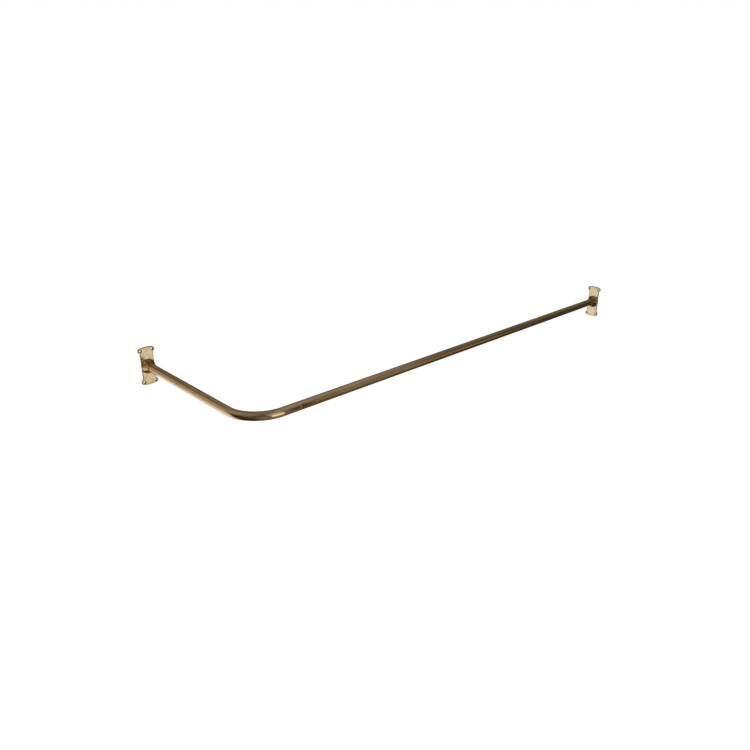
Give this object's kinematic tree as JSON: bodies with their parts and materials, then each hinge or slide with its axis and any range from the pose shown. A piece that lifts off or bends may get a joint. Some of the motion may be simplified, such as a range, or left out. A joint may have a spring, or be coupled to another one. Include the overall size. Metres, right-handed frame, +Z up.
{
  "type": "corner shower curtain rod",
  "caption": "L-shaped brass shower curtain rod with a bent corner, a flared socket flange at each end for screwing to a wall, and a plain round rail for curtain rings.",
  "frame": {"origin": "middle of the long leg's flange, on its back face against the wall", "axes": "+X along the long leg into its wall, +Y along the short leg into its wall, +Z up"},
  "size_m": [1.7292, 0.5989, 0.1244],
  "materials": {
    "rod_brass": "polished brass tube, mellowed by age, with fine lengthwise polishing lines",
    "flange_brass": "polished cast brass",
    "sleeve_brass": "plain drawn brass, unpolished",
    "screw_steel": "turned steel"
  },
  "bodies": {
    "root": {"corner_tube": "rod_brass", "long_tube": "rod_brass", "splice_sleeve": "sleeve_brass", "short_leg_flange": "flange_brass", "long_leg_flange": "flange_brass", "short_leg_set_screw": "screw_steel", "long_leg_set_screw": "screw_steel"}
  },
  "joints": []
}
